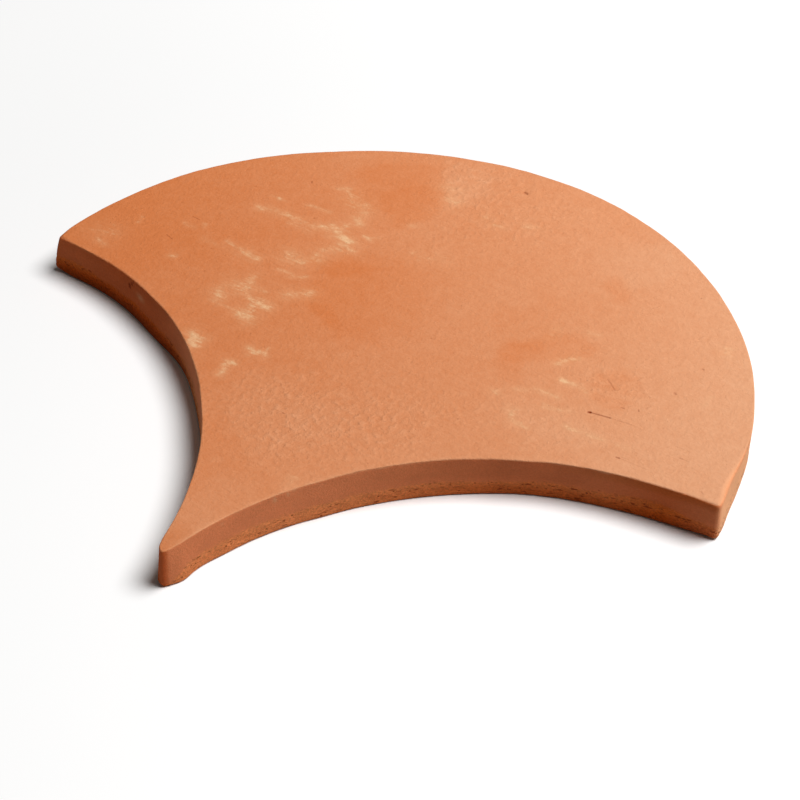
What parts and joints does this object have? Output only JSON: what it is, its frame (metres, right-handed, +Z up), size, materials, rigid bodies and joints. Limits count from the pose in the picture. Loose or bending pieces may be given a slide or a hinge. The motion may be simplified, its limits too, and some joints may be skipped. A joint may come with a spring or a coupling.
{
  "type": "fish-scale terracotta tile",
  "caption": "Fish-scale floor and wall tile of fired clay, flat and solid, with a half-round nose, two concave flanks that nest on neighbouring noses, and a narrow blunt tail.",
  "frame": {"origin": "on the underside, directly below the centre of the nose's half circle", "axes": "+X towards the right ear, +Y towards the rounded nose, +Z up out of the smooth face; the tile lies flat"},
  "size_m": [0.2, 0.1822, 0.013],
  "materials": {
    "fired_clay": "matt unglazed fired clay, orange-brown with paler salmon cloud, chalky smears and pores"
  },
  "bodies": {
    "root": {"tile": "fired_clay"}
  },
  "joints": []
}
